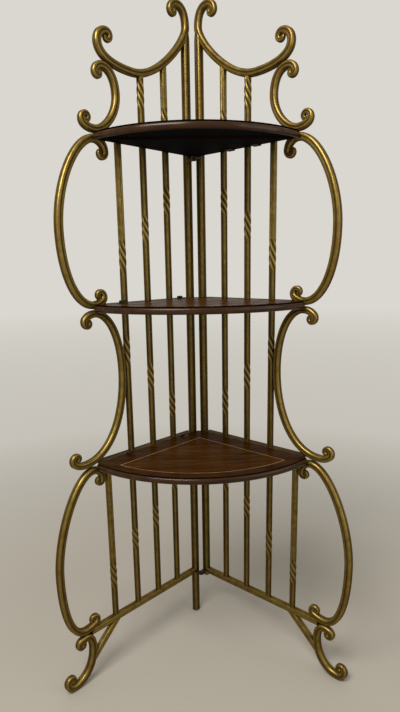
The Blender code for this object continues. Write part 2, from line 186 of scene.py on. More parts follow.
# Aged brass of the fluted tubes: worn gold and painted highlight on the ridges, soot and painted shade in
# the grooves
brassLook = {
    "olive": (0.112, 0.073, 0.011),
    "goldAndHighlight": (0.360, 0.250, 0.062),
    "copperBrown": (0.100, 0.047, 0.007),
    "sootAndShade": (0.012, 0.0065, 0.0012),
    "edgeTint": (0.20, 0.13, 0.045, 1.0),
    "patchScale": 14.0,
    "patchRange": (0.42, 0.64),
    "patchShare": 0.8,
    "mottleScale": 60.0,
    "mottleRange": (0.35, 0.7),
    "dirtScale": 42.0,
    "dirtRange": (0.3, 0.75),
    "pitScale": 700.0,
    "plainWearAndHighlight": 0.2,
    "mottleWear": 0.4,
    "twistWearAndHighlight": 0.4,
    "plainSootAndShade": 0.6,
    "dirtSoot": 0.4,
    "roughness": 0.30,
    "mottleRoughness": 0.1,
    "patchRoughness": 0.06,
    "grooveRoughness": 0.3,
    "metallic": 0.9,
    "grooveMetal": 0.3,
    "shine": 0.2,
    "coat": 0.12,
    "coatRoughness": 0.22,
    "mottleHeight": 0.6,
    "pitHeight": 0.4,
    "bump": 0.00008,
}


def makeBrass(name, look, shade):
    material, tree, shader = newMaterial(name)
    patches = spread(objectNoise(tree, look["patchScale"], 4.0), *look["patchRange"])
    mottle = spread(objectNoise(tree, look["mottleScale"], 4.0), *look["mottleRange"])
    dirt = spread(objectNoise(tree, look["dirtScale"], 5.0), *look["dirtRange"])
    pits = objectNoise(tree, look["pitScale"], 2.0)
    groove = meshShare(tree, "groove")
    twist = meshShare(tree, "twist")
    ridge = (1.0 - groove) ** 2.0
    olive, goldAndHighlight, copperBrown = [
        tuple(shade * part for part in look[key]) for key in ("olive", "goldAndHighlight", "copperBrown")
    ]
    colour = mixColours(tree, patches * look["patchShare"], olive, copperBrown)
    # the gold on the ridges is partly wear and partly painted highlight, and is stronger on the twisted
    # lengths
    wearAndHighlight = look["plainWearAndHighlight"] + mottle * look["mottleWear"] + twist * look["twistWearAndHighlight"]
    colour = mixColours(tree, ridge * wearAndHighlight, colour, goldAndHighlight)
    # the soot in the grooves is partly patina and partly painted shade
    sootAndShade = groove * (look["plainSootAndShade"] + dirt * look["dirtSoot"])
    colour = mixColours(tree, sootAndShade, colour, look["sootAndShade"])
    rough = mottle * look["mottleRoughness"] + patches * look["patchRoughness"]
    rough = rough + groove * look["grooveRoughness"] + look["roughness"]
    height = mottle * look["mottleHeight"] + pits * look["pitHeight"]
    setInputs(tree, shader, {
        "Base Color": colour,
        "Roughness": rough,
        "Metallic": look["metallic"] - groove * (look["metallic"] - look["grooveMetal"]),
        "Specular Tint": look["edgeTint"],
        "Specular IOR Level": look["shine"],
        "Coat Weight": look["coat"],
        "Coat Roughness": look["coatRoughness"],
        "Normal": bumpNormal(tree, look["bump"], height),
    })
    return material


# Dull brass of the flat rails, and the dark metal of the hinges
railLook = {
    "dark": (0.045, 0.027, 0.006),
    "worn": (0.130, 0.084, 0.023),
    "edgeTint": (0.35, 0.25, 0.10, 1.0),
    "patchScale": 30.0,
    "patchRange": (0.36, 0.66),
    "patchShare": 0.8,
    "roughness": 0.46,
    "patchRoughness": 0.12,
    "metallic": 0.7,
    "fineScale": 520.0,
    "bump": 0.0001,
}
hingeLook = {
    "dark": (0.030, 0.021, 0.013),
    "worn": (0.085, 0.058, 0.030),
    "edgeTint": (1.0, 1.0, 1.0, 1.0),
    "patchScale": 45.0,
    "patchRange": (0.38, 0.66),
    "patchShare": 1.0,
    "roughness": 0.38,
    "patchRoughness": 0.18,
    "metallic": 0.85,
    "fineScale": 420.0,
    "bump": 0.00012,
}


def makeWornMetal(name, look):
    material, tree, shader = newMaterial(name)
    patches = spread(objectNoise(tree, look["patchScale"], 4.0), *look["patchRange"])
    fine = objectNoise(tree, look["fineScale"])
    setInputs(tree, shader, {
        "Base Color": mixColours(tree, patches * look["patchShare"], look["dark"], look["worn"]),
        "Roughness": look["roughness"] + patches * look["patchRoughness"],
        "Metallic": look["metallic"],
        "Specular Tint": look["edgeTint"],
        "Normal": bumpNormal(tree, look["bump"], fine),
    })
    return material


# Polished mahogany, whose grain runs along x before it is turned
woodLook = {
    "dark": (0.022, 0.0072, 0.0012),
    "middle": (0.045, 0.0160, 0.0024),
    "light": (0.070, 0.0270, 0.0042),
    "middleStop": 0.55,
    "figureScale": 9.0,
    "figureStretch": (1.0, 7.0, 7.0),
    "figureShare": 0.65,
    "grainScale": 54.0,
    "grainStretch": (1.0, 26.0, 26.0),
    "grainShare": 0.35,
    "blendRange": (0.36, 0.64),
    "poreRange": (0.3, 0.44),
    "poreShare": 0.6,
    "smudgeScale": 22.0,
    "smudgeRange": (0.4, 0.7),
    "smudgeRoughness": 0.12,
    "roughness": 0.27,
    "bump": 0.00004,
}


def makeWood(name, look, turn, shade, shine):
    material, tree, shader = newMaterial(name)
    figure = objectNoise(tree, look["figureScale"], 4.0, look["figureStretch"], turn)
    grain = objectNoise(tree, look["grainScale"], 3.0, look["grainStretch"], turn)
    blend = spread(figure * look["figureShare"] + grain * look["grainShare"], *look["blendRange"])
    stops = [(0.0, look["dark"]), (look["middleStop"], look["middle"]), (1.0, look["light"])]
    colour = addNode(tree, "ShaderNodeValToRGB", {"stops": stops}, {0: blend})
    colour = mixColours(tree, 1.0, colour, (shade, shade, shade), "MULTIPLY")
    pores = 1.0 - spread(grain, *look["poreRange"])
    smudges = spread(objectNoise(tree, look["smudgeScale"]), *look["smudgeRange"])
    setInputs(tree, shader, {
        "Base Color": mixColours(tree, pores * look["poreShare"], colour, look["dark"]),
        "Roughness": look["roughness"] + smudges * look["smudgeRoughness"],
        "Specular IOR Level": shine,
        "Normal": bumpNormal(tree, look["bump"], grain),
    })
    return material


# The almost black wood under a shelf, in its edge's groove and on its straight sides: painted shade
paintedShadeLook = {
    "dark": (0.0016, 0.0012, 0.0009),
    "light": (0.0060, 0.0040, 0.0028),
    "streakScale": 14.0,
    "streakStretch": (1.0, 12.0, 12.0),
    "streakRange": (0.35, 0.7),
    "roughness": 0.62,
    "streakRoughness": 0.15,
    "shine": 0.005,
}


def makePaintedShade(name, look):
    material, tree, shader = newMaterial(name)
    streaks = objectNoise(tree, look["streakScale"], 4.0, look["streakStretch"])
    streaks = spread(streaks, *look["streakRange"])
    setInputs(tree, shader, {
        "Base Color": mixColours(tree, streaks, look["dark"], look["light"]),
        "Roughness": look["roughness"] + streaks * look["streakRoughness"],
        "Specular IOR Level": look["shine"],
    })
    return material


inlayLook = {
    "dark": (0.20, 0.105, 0.035),
    "light": (0.33, 0.19, 0.07),
    "toneScale": 60.0,
    "toneRange": (0.35, 0.65),
    "roughness": 0.28,
    "shine": 0.02,
}


def makeInlay(name, look):
    material, tree, shader = newMaterial(name)
    tone = spread(objectNoise(tree, look["toneScale"]), *look["toneRange"])
    setInputs(tree, shader, {
        "Base Color": mixColours(tree, tone, look["dark"], look["light"]),
        "Roughness": look["roughness"],
        "Specular IOR Level": look["shine"],
    })
    return material


# one brass twice: brightened for the scrolls as painted light, darkened for the posts, bars, base rail and
# brace as painted shade
scrollBrassPaintedLight = makeBrass("agedScrollBrassPaintedLight", brassLook, shade=1.12)
uprightBrassPaintedShade = makeBrass("agedUprightBrassPaintedShade", brassLook, shade=0.84)
dullBrass = makeWornMetal("dullRailBrass", railLook)
hingeMetal = makeWornMetal("darkHingeMetal", hingeLook)
edgeLook = {**woodLook, "roughness": 0.17}
fieldWood = makeWood("mahoganyField", woodLook, turn=0.0, shade=0.86, shine=0.003)
borderWood = makeWood("mahoganyBorder", woodLook, turn=math.radians(45), shade=0.60, shine=0.005)
# the moulded edge and the underboard's front are darker copies of the field's mahogany: painted shade
edgeWoodPaintedShade = makeWood("mahoganyEdgePaintedShade", edgeLook, turn=0.0, shade=0.66, shine=0.22)
boardWoodPaintedShade = makeWood("mahoganyBoardPaintedShade", woodLook, turn=0.0, shade=0.3, shine=0.008)
inlayWood = makeInlay("boxwoodLine", inlayLook)
paintedShadeWood = makePaintedShade("shelfPaintedShade", paintedShadeLook)
print("materials made")


# Paths of the scrolls in a panel's plane, as (u, z): u from the corner, z up
bends = {
    "bottomJointDrop": 0.0103,
    "middleJointDrop": 0.0122,
    "topJointDrop": 0.001,
    "crestLow": (0.216, 0.1577),
    "crestBendRise": 0.1475,
    "crestHook": (0.061, 0.0486),
    "crestEnd": (0.3217, 0.0462),
    "smallTopPlace": 0.3155,
    "smallBelly": (0.2732, 0.094),
    "topJointPlace": 0.3465,
    "upperBelly": (0.4605, 0.177),
    "middleJointPlace": 0.3742,
    "innerBellyRise": 0.2235,
    "innerBasePlace": 0.4345,
    "lowerHookAhead": 0.029,
    "lowerBelly": (0.5295, 0.197),
    "footJointPlace": 0.4635,
    "footNeck": (0.4436, 0.049),
    "footBasePlace": 0.5125,
    "steps": 22,
    "curlStep": math.radians(9),
}
# where the crest's bend comes down beside the corner
crestNeck = (
    stand["postPlace"] - stand["postRadius"] + stand["scrollRadius"],
    stand["shelfHeights"]["top"] + bends["crestLow"][1] + bends["crestBendRise"],
)

# each quarter bend's handles at its start and finish, as shares of its width or height
sweeps = {
    "crestNeck": (0.576, 0.7507),
    "crestFall": (0.2303, 0.4412),
    "crestRise": (0.5023, 0.743),
    "smallHead": (0.6317, 0.6016),
    "smallBase": (0.5181, 0.4581),
    "upperHead": (0.4517, 0.5048),
    "upperBase": (0.6004, 0.5656),
    "innerHead": (0.5973, 0.5766),
    "innerBase": (0.5301, 0.6207),
    "lowerHead": (0.4351, 0.4594),
    "lowerBase": (0.5254, 0.7228),
    "footHead": (0.5829, 0.5238),
    "footBase": (0.5052, 0.6494),
}

# the spiral at the end of every curl
curlTip = {
    "radius": 0.0058,
    "turn": math.radians(280),
    "quickness": 1.5,
    "steps": 30,
    "widestRoll": 0.98,     # a roll's radius against how far its curl goes
}

# how far each curl runs on, how far it turns aside, and the radius it rolls up to
curls = {
    "crestHook": (0.0200, 0.0179, 0.0105),
    "crestEnd": (0.0265, 0.0268, 0.0125),
    "smallTop": (0.0187, 0.0165, 0.0095),
    "smallBase": (0.0329, 0.0190, 0.0135),
    "upperTop": (0.0310, 0.0290, 0.0118),
    "upperBase": (0.0327, 0.0200, 0.0130),
    "innerTop": (0.0332, 0.0202, 0.0115),
    "innerBase": (0.0325, 0.0190, 0.0135),
    "lowerTop": (0.0290, 0.0307, 0.0105),
    "lowerBase": (0.0395, 0.0180, 0.0120),
    "footTop": (0.0255, 0.0130, 0.0105),
    "footBase": (0.0189, 0.0200, 0.0125),
}


def quarterBend(start, finish, startLevel, name):
    # a smooth curve that leaves level and arrives upright, or the other way round
    leave, arrive = sweeps[name]
    du, dz = finish[0] - start[0], finish[1] - start[1]
    if startLevel:
        first, second = (start[0] + du * leave, start[1]), (finish[0], finish[1] - dz * arrive)
    else:
        first, second = (start[0], start[1] + dz * leave), (finish[0] - du * arrive, finish[1])
    ends = (start, first, second, finish)
    points = []
    for step in range(1, bends["steps"] + 1):
        on = step / bends["steps"]
        weights = ((1 - on) ** 3, 3 * on * (1 - on) ** 2, 3 * on * on * (1 - on), on**3)
        points.append(tuple(sum(w * end[i] for w, end in zip(weights, ends)) for i in (0, 1)))
    return points


def roundArc(start, heading, radius, angle, turn):
    steps = max(1, round(abs(angle) / bends["curlStep"]))
    side = heading + turn * math.pi / 2
    centre = (start[0] + radius * math.cos(side), start[1] + radius * math.sin(side))
    points = []
    for step in range(1, steps + 1):
        way = side + math.pi + turn * angle * step / steps
        points.append((centre[0] + radius * math.cos(way), centre[1] + radius * math.sin(way)))
    return points, heading + turn * angle


def curlPath(name, start, heading, turn):
    # a wide turn, a short tighter one, then a spiral that closes on itself
    ahead, aside, roll = curls[name]
    roll = min(roll, curlTip["widestRoll"] * min(ahead, aside))
    angle = 2 * math.atan2(aside - roll, ahead - roll)
    wide = roll + (ahead - roll) / math.sin(angle)
    runs = [(wide, angle)]
    if angle < math.pi / 2:
        runs.append((roll, math.pi / 2 - angle))
    points = []
    for radius, sweep in runs:
        run, heading = roundArc(points[-1] if points else start, heading, radius, sweep, turn)
        points += run
    left = curlTip["turn"] + math.pi / 2 - sum(sweep for _, sweep in runs)
    steps = curlTip["steps"]
    for step in range(steps):
        wider = (roll - curlTip["radius"]) * (1 - (step + 0.5) / steps) ** curlTip["quickness"]
        run, heading = roundArc(points[-1], heading, curlTip["radius"] + wider, left / steps, turn)
        points += run
    return points


def joinPath(firstCurl, extremes, lastCurl):
    # a curl, the quarter bends from one extreme point to the next, and a curl
    name, heading, turn = firstCurl
    points = curlPath(name, extremes[0][0], heading, turn)[::-1] + [extremes[0][0]]
    level = True
    for (start, _), (finish, sweep) in zip(extremes, extremes[1:]):
        points += quarterBend(start, finish, level, sweep)
        level = not level
    name, heading, turn = lastCurl
    return points + curlPath(name, extremes[-1][0], heading, turn)


def heightOn(path, place):
    heights = []
    for (u0, z0), (u1, z1) in zip(path, path[1:]):
        if min(u0, u1) <= place <= max(u0, u1) and u0 != u1:
            heights.append(z0 + (z1 - z0) * (place - u0) / (u1 - u0))
    return min(heights)


def seatUnder(path, draw):
    # how high the scroll drawn from its top height can stand before it touches the path's tube
    reach = 2 * stand["scrollRadius"] + stand["gap"]
    low, high = stand["shelfHeights"]["top"] + bends["smallBelly"][1], max(z for _, z in path)
    while high - low > stand["gap"] / 10:
        middle = (low + high) / 2
        clear = all(math.dist(a, b) > reach for a in draw(middle) for b in path)
        low, high = (middle, high) if clear else (low, middle)
    return low


def scrollPaths():
    heights, scroll, base = stand["shelfHeights"], stand["scrollRadius"], stand["baseRailHeight"]
    lift = scroll + stand["gap"] / 2
    bottomJoint = heights["bottom"] - bends["bottomJointDrop"]
    middleJoint = heights["middle"] - bends["middleJointDrop"]
    topJoint = heights["top"] - bends["topJointDrop"]
    beside = stand["barRadius"] + stand["gap"] + scroll
    hookPlace = stand["barPlaces"][3] + beside + bends["lowerHookAhead"]
    innerBelly = stand["barPlaces"][2] + beside
    crestLow = heights["top"] + bends["crestLow"][1]
    left, right, up = math.pi, 0.0, math.pi / 2
    crest = joinPath(
        ("crestHook", right, -1),
        [
            ((bends["crestHook"][0], crestNeck[1] + bends["crestHook"][1]), None),
            (crestNeck, "crestNeck"),
            ((bends["crestLow"][0], crestLow), "crestFall"),
            ((bends["crestEnd"][0], crestLow + bends["crestEnd"][1]), "crestRise"),
        ],
        ("crestEnd", up, 1),
    )

    def smallScroll(smallTop):
        return joinPath(
            ("smallTop", right, -1),
            [
                ((bends["smallTopPlace"], smallTop), None),
                ((bends["smallBelly"][0], heights["top"] + bends["smallBelly"][1]), "smallHead"),
                ((bends["topJointPlace"], topJoint + lift), "smallBase"),
            ],
            ("smallBase", right, 1),
        )

    small = smallScroll(seatUnder(crest, smallScroll))
    upper = joinPath(
        ("upperTop", left, 1),
        [
            ((bends["topJointPlace"], topJoint - lift), None),
            ((bends["upperBelly"][0], heights["middle"] + bends["upperBelly"][1]), "upperHead"),
            ((bends["middleJointPlace"], middleJoint + lift), "upperBase"),
        ],
        ("upperBase", left, -1),
    )
    inner = joinPath(
        ("innerTop", right, -1),
        [
            ((bends["middleJointPlace"], middleJoint - lift), None),
            ((innerBelly, heights["bottom"] + bends["innerBellyRise"]), "innerHead"),
            ((bends["innerBasePlace"], bottomJoint + lift), "innerBase"),
        ],
        ("innerBase", right, 1),
    )
    lower = joinPath(
        ("lowerTop", left, 1),
        [
            ((hookPlace, bottomJoint - lift), None),
            ((bends["lowerBelly"][0], base + bends["lowerBelly"][1]), "lowerHead"),
            ((bends["footJointPlace"], base + lift), "lowerBase"),
        ],
        ("lowerBase", left, -1),
    )
    foot = joinPath(
        ("footTop", right, -1),
        [
            ((bends["footJointPlace"], base - lift), None),
            ((bends["footNeck"][0], base - bends["footNeck"][1]), "footHead"),
            ((bends["footBasePlace"], footLift), "footBase"),
        ],
        ("footBase", right, 1),
    )
    return {"crest": crest, "small": small, "upper": upper, "inner": inner, "lower": lower, "foot": foot}


# Fluted tubes; a fullness is the half width over the ridges against the plain tube
tubeLook = {
    "lobes": 4,
    "lobePoints": 10,
    "lobeCentre": 0.46,     # share of the half width where each lobe's own circle stands
    "scrollFullness": {
        "crest": 1.04, "small": 1.02, "upper": 1.07, "inner": 1.01, "lower": 1.08, "foot": 1.12
    },
    "barFullness": 1.04,
    "railFullness": 1.04,
    "braceFullness": 1.04,
    "postMerge": 0.034,     # over this length the post's top runs into the crest
    "mergeSteps": 8,
    "mergeShare": 0.8,      # the post's top thins to this share of the crest's tube
    "railSink": 0.7,        # the base rail starts this share of the radius inside the post
    "railShort": 0.0165,    # the base rail stops this far from where the scrolls meet
    "braceFootHeight": 0.0562,
    "tipFullness": 0.55,    # the tube thins towards its rolled tip
    "tipBulge": 0.6,        # how far a tip's cap stands out against its radius
    "tipAngles": (18, 36, 52, 66, 78, 86),
    "taperReach": 0.062,
    "creaseAngle": 38.0,
}
# two lobes of the foot's fluted tube rest on the floor
footRadius = stand["scrollRadius"] * tubeLook["scrollFullness"]["foot"]
footLift = (1.0 - tubeLook["lobeCentre"] * (1.0 - diagonal)) * footRadius


def flutedSection():
    # a ring of round lobes; each point as (angle, reach, groove)
    lobes, count, centre = tubeLook["lobes"], tubeLook["lobePoints"], tubeLook["lobeCentre"]
    lobe = 1.0 - centre
    half = math.pi / lobes
    lowest = centre * math.cos(half) + math.sqrt(lobe**2 - (centre * math.sin(half)) ** 2)
    ring = []
    for index in range(lobes):
        middle = half + index * 2 * half
        for step in range(count):
            aside = -half + 2 * half * step / count
            reach = centre * math.cos(aside) + math.sqrt(lobe**2 - (centre * math.sin(aside)) ** 2)
            ring.append((middle + aside, reach, min(1.0, (1.0 - reach) / (1.0 - lowest))))
    return ring


section = flutedSection()


def makeSectionCurve():
    data = bpy.data.curves.new("tubeSection", "CURVE")
    data.dimensions = "2D"
    spline = data.splines.new("POLY")
    spline.points.add(len(section) - 1)
    for point, (angle, reach, _) in zip(spline.points, section):
        point.co = (reach * math.cos(angle), reach * math.sin(angle), 0.0, 1.0)
    spline.use_cyclic_u = True
    curve = bpy.data.objects.new("tubeSection", data)
    bpy.context.collection.objects.link(curve)
    return curve


sectionCurve = makeSectionCurve()


def selectOnly(item):
    if bpy.context.object and bpy.context.object.mode != "OBJECT":
        bpy.ops.object.mode_set(mode="OBJECT")
    bpy.ops.object.select_all(action="DESELECT")
    item.select_set(True)
    bpy.context.view_layer.objects.active = item


def faceOutwards():
    # every face of the active piece points outwards, and edit mode is left
    bpy.ops.object.mode_set(mode="EDIT")
    bpy.ops.mesh.select_all(action="SELECT")
    bpy.ops.mesh.normals_make_consistent(inside=False)
    bpy.ops.object.mode_set(mode="OBJECT")


def panelMatrix(side):
    # takes a drawing in x and y to the plane of a panel
    sign = -1.0 if side == "left" else 1.0
    return Matrix(
        (
            (sign * diagonal, 0.0, -diagonal, 0.0),
            (-diagonal, 0.0, -sign * diagonal, cornerDepth),
            (0.0, 1.0, 0.0, 0.0),
            (0.0, 0.0, 0.0, 1.0),
        )
    )


def setMaterial(item, *materials):
    item.data.materials.clear()
    for material in materials:
        item.data.materials.append(material)


def writeShares(item, name, shares):
    # one number for each point of the tube's rings, and zero on its caps
    count = len(item.data.vertices)
    shares = shares + [0.0] * (count - len(shares))
    layer = item.data.attributes.new(name, "FLOAT", "POINT")
    layer.data.foreach_set("value", shares[:count])


def sweepTube(name, points, radii, tilts=None, twisted=None):
    # a curve with the fluted section as its bevel, made a mesh in the drawing plane
    data = bpy.data.curves.new(name, "CURVE")
    data.dimensions = "3D"
    data.twist_mode = "Z_UP"
    data.bevel_mode = "OBJECT"
    data.bevel_object = sectionCurve
    data.use_fill_caps = True
    spline = data.splines.new("POLY")
    spline.points.add(len(points) - 1)
    spline.use_smooth = True
    for index, (point, (u, z), radius) in enumerate(zip(spline.points, points, radii)):
        point.co = (u, z, 0.0, 1.0)
        point.radius = radius
        point.tilt = tilts[index] if tilts else 0.0
    item = bpy.data.objects.new(name, data)
    bpy.context.collection.objects.link(item)
    selectOnly(item)
    bpy.ops.object.convert(target="MESH")
    ringPoints = range(len(points) * len(section))
    writeShares(item, "groove", [section[i % len(section)][2] for i in ringPoints])
    if twisted:
        writeShares(item, "twist", [twisted[i // len(section)] for i in ringPoints])
    faceOutwards()
    bpy.ops.object.shade_smooth_by_angle(angle=math.radians(tubeLook["creaseAngle"]))
    return item


def tipCap(end, inner, radius):
    # shrinking rings ahead of a path's end, which close it like a ball
    away = Vector((end[0] - inner[0], end[1] - inner[1])).normalized()
    points, radii = [], []
    for angle in tubeLook["tipAngles"]:
        ahead = radius * tubeLook["tipBulge"] * math.sin(math.radians(angle))
        points.append((end[0] + away.x * ahead, end[1] + away.y * ahead))
        radii.append(radius * math.cos(math.radians(angle)))
    return points, radii


def roundTips(points, radii):
    firstPoints, firstRadii = tipCap(points[0], points[1], radii[0])
    lastPoints, lastRadii = tipCap(points[-1], points[-2], radii[-1])
    return firstPoints[::-1] + points + lastPoints, firstRadii[::-1] + radii + lastRadii


def smoothStep(value):
    value = max(0.0, min(1.0, value))
    return value * value * (3 - 2 * value)


def scrollRadii(points, name):
    # full tube that thins into each rolled end
    lengths = [0.0]
    for start, finish in zip(points, points[1:]):
        lengths.append(lengths[-1] + math.dist(start, finish))
    full = stand["scrollRadius"] * tubeLook["scrollFullness"][name]
    radii = []
    for length in lengths:
        fromTip = min(length, lengths[-1] - length)
        share = min(1.0, fromTip / tubeLook["taperReach"])
        thin = 1.0 - (1.0 - tubeLook["tipFullness"]) * (1.0 - share)
        radii.append(full * thin)
    return radii


def placeOnPanel(item, side, nodeEnding):
    item.name = f"{side}_{nodeEnding}_dressed"
    # the scrolls take the brass brightened as painted light, every other tube the brass darkened as painted
    # shade
    setMaterial(item, scrollBrassPaintedLight if nodeEnding.endswith("scroll") else uprightBrassPaintedShade)
    item.data.transform(panelMatrix(side))
    item.data.update()
    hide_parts(f"{side}_{nodeEnding}")
    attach(item, f"{side}_panel")


def copyToPanels(item, nodeEnding):
    # one piece for each panel, each with its own mesh
    twin = bpy.data.objects.new(item.name, item.data.copy())
    bpy.context.collection.objects.link(twin)
    placeOnPanel(item, "left", nodeEnding)
    placeOnPanel(twin, "right", nodeEnding)


paths = scrollPaths()
for scrollName, path in paths.items():
    points, radii = roundTips(path, scrollRadii(path, scrollName))
    copyToPanels(sweepTube(scrollName, points, radii), f"{scrollName}_scroll")
print("scrolls swept")


# Uprights, with the lengths over which each bar is twisted
twistLook = {
    "turns": -0.75,         # whole quarters of a turn keep the flutes in line above a twist
    "stepsPerTurn": 56,
    "easing": 0.35,
    "swell": 0.07,
    "swellEnd": 0.25,       # the swell comes and goes over this share of a twisted length
    # each bar's twisted lengths from the corner outwards, as (low, high) above the floor
    "bars": {
        "left": (
            ((0.455, 0.530), (0.686, 0.763), (1.260, 1.333), (1.450, 1.529)),
            ((0.362, 0.440), (0.783, 0.862), (1.184, 1.257), (1.508, 1.583)),
            ((0.325, 0.398), (0.865, 0.945), (1.108, 1.190)),
            ((0.242, 0.320),),
        ),
        "right": (
            ((0.448, 0.525), (0.688, 0.770), (1.258, 1.328), (1.450, 1.523)),
            ((0.383, 0.460), (0.776, 0.856), (1.186, 1.264), (1.508, 1.580)),
            ((0.288, 0.372), (0.865, 0.940), (1.107, 1.188)),
            ((0.231, 0.308),),
        ),
    },
}


def uprightRun(low, high, twistedLengths, radius):
    # points up a bar, close together where it is twisted
    heights, tilts, radii, twisted = [low], [0.0], [radius], [0.0]
    turned, twistAngle = 0.0, 2 * math.pi * twistLook["turns"]
    steps = round(twistLook["stepsPerTurn"] * abs(twistLook["turns"]))
    for start, finish in twistedLengths:
        for step in range(steps + 1):
            share = step / steps
            heights.append(start + (finish - start) * share)
            eased = share + (smoothStep(share) - share) * twistLook["easing"]
            tilts.append(turned + twistAngle * eased)
            swell = smoothStep(min(share, 1.0 - share) / twistLook["swellEnd"])
            radii.append(radius * (1.0 + twistLook["swell"] * swell))
            twisted.append(swell)
        turned += twistAngle
    return heights + [high], tilts + [turned], radii + [radius], twisted + [0.0]


barTops = (
    heightOn(paths["crest"], stand["barPlaces"][0]),
    heightOn(paths["crest"], stand["barPlaces"][1]),
    stand["shelfHeights"]["top"] - stand["railThickness"],
    stand["shelfHeights"]["bottom"] - stand["railThickness"],
)
barRadius = stand["barRadius"] * tubeLook["barFullness"]
for side, barTwists in twistLook["bars"].items():
    for number, (place, top, twists) in enumerate(zip(stand["barPlaces"], barTops, barTwists), 1):
        heights, tilts, radii, twisted = uprightRun(stand["baseRailHeight"], top, twists, barRadius)
        bar = sweepTube(f"bar{number}", [(place, z) for z in heights], radii, tilts, twisted)
        placeOnPanel(bar, side, f"bar_{number}")


def postRun(low):
    # straight up, then thinner and aside until it is lost in the crest's neck
    place, radius = stand["postPlace"], stand["postRadius"]
    points, radii = [(place, low)], [radius]
    topRadius = stand["scrollRadius"] * tubeLook["mergeShare"]
    start = crestNeck[1] - tubeLook["postMerge"]
    for step in range(tubeLook["mergeSteps"] + 1):
        share = step / tubeLook["mergeSteps"]
        aside = smoothStep(share)
        points.append((place + (crestNeck[0] - place) * aside, start + (crestNeck[1] - start) * share))
        radii.append(radius + (topRadius - radius) * aside)
    return points, radii


for side in ("left", "right"):
    postLow = 0.0 if side == "left" else stand["baseRailHeight"] - stand["rightPostDrop"]
    placeOnPanel(sweepTube("post", *postRun(postLow)), side, "post")

# the base rail ends inside the post and inside the joint of lower and foot scroll
railStart = stand["postPlace"] + stand["postRadius"] * tubeLook["railSink"]
railFinish = bends["footJointPlace"] - tubeLook["railShort"]
railRadius = stand["baseRailRadius"] * tubeLook["railFullness"]
railEnds = [(railStart, stand["baseRailHeight"]), (railFinish, stand["baseRailHeight"])]
copyToPanels(sweepTube("baseRail", railEnds, [railRadius] * 2), "base_rail")

# the brace slants from the outer bar's foot to the foot scroll
braceFoot = min(
    (point for point in paths["foot"] if point[0] < bends["footBasePlace"]),
    key=lambda point: abs(point[1] - tubeLook["braceFootHeight"]),
)
braceHead = (stand["barPlaces"][3] - stand["barRadius"], stand["baseRailHeight"])
braceRadius = stand["braceRadius"] * tubeLook["braceFullness"]
copyToPanels(sweepTube("brace", [braceHead, braceFoot], [braceRadius] * 2), "brace")
bpy.data.objects.remove(sectionCurve, do_unlink=True)
print("uprights and rails swept")


# The shelves; each straight side comes up close to its rail
shelfLook = {
    "sideReach": 0.0119,
    "cornerCut": 0.0084,
    "arcInset": 0.032,
    "sideInset": 0.041,
    "inlayWidth": 0.0018,
    "spinSteps": 72,
    # the moulded edge from the top down: (beyond the shelf's radius, below its top), in mm
    "moulding": (
        (-2.2, 0.0), (-3.4, -0.5), (-3.8, -1.8), (-3.4, -3.2), (-1.6, -3.7), (-0.2, -4.8),
        (0.7, -6.6), (1.2, -9.0), (1.1, -11.6), (0.6, -14.2), (-0.3, -16.2), (-1.6, -17.8),
        (-3.4, -18.7), (-6.0, -18.7), (-8.0, -17.0),
    ),
    # above this depth the edge takes the near-black wood, as painted shade in its groove
    "grooveEnd": 0.0034,    # the edge is dark above this depth
    "creaseAngle": 32.0,
    "weld": 0.00001,
    "hair": 0.0001,
    "flat": 0.9,            # a face whose normal is steeper than this lies flat
}
underboard = {"inset": 0.0168, "chordInset": 0.005, "thickness": 0.0035}


def profileRing(outline):
    # a line of edges drawn out point by point, then spun a quarter turn and closed
    bpy.ops.object.select_all(action="DESELECT")
    bpy.ops.mesh.primitive_plane_add()
    bpy.ops.object.mode_set(mode="EDIT")
    bpy.ops.mesh.select_all(action="SELECT")
    bpy.ops.mesh.merge(type="CENTER")
    for (x0, z0), (x1, z1) in zip(outline, outline[1:]):
        bpy.ops.mesh.extrude_region_move(TRANSFORM_OT_translate={"value": (x1 - x0, 0.0, z1 - z0)})
    bpy.ops.mesh.select_all(action="SELECT")
    bpy.ops.mesh.spin(
        steps=shelfLook["spinSteps"], angle=-math.pi / 2, center=(0.0, 0.0, 0.0), axis=(0.0, 0.0, 1.0)
    )
    bpy.ops.mesh.select_all(action="SELECT")
    bpy.ops.mesh.remove_doubles(threshold=shelfLook["weld"])
    return bpy.context.object


def selectSide(item, axis):
    # selects the vertices on one straight side of the quarter turn
    bpy.ops.object.mode_set(mode="OBJECT")
    for part in (item.data.polygons, item.data.edges, item.data.vertices):
        part.foreach_set("select", [False] * len(part))
    for vertex in item.data.vertices:
        vertex.select = abs(vertex.co[axis]) < shelfLook["weld"]
    bpy.ops.object.mode_set(mode="EDIT")
    bpy.ops.mesh.select_mode(type="VERT")


def alongAxis(axis, length):
    way = [0.0, 0.0, 0.0]
    way[axis] = length
    return way


def shelfFaceSlot(face, radius):
    # 0 field, 1 border, 2 inlaid line, 3 moulded edge, 4 underside, groove and straight sides, whose
    # near-black wood is painted shade
    x, y, z = face.center
    hair, flat = shelfLook["hair"], shelfLook["flat"]
    arcDepth = radius - math.hypot(x, y) - shelfLook["arcInset"]
    depth = min(arcDepth, min(x, y) - shelfLook["sideInset"])
    onSide = max(x, y) < 0.0 or min(x, y) < hair - shelfLook["sideReach"]
    if face.normal.z < -flat or (face.normal.z < flat and onSide):
        return 4
    if face.normal.z < flat or z < -hair:
        return 4 if z > -shelfLook["grooveEnd"] else 3
    if depth < 2 * hair:
        return 1
    return 2 if depth < shelfLook["inlayWidth"] else 0


def standShelf(item, level):
    # from the drawing's quarter turn to its place on the stand
    corner = cornerDepth - stand["shelfInset"] / diagonal
    place = Matrix.Translation((0.0, corner, stand["shelfHeights"][level]))
    item.data.transform(place @ Matrix.Rotation(math.radians(225), 4, "Z"))
    item.data.update()


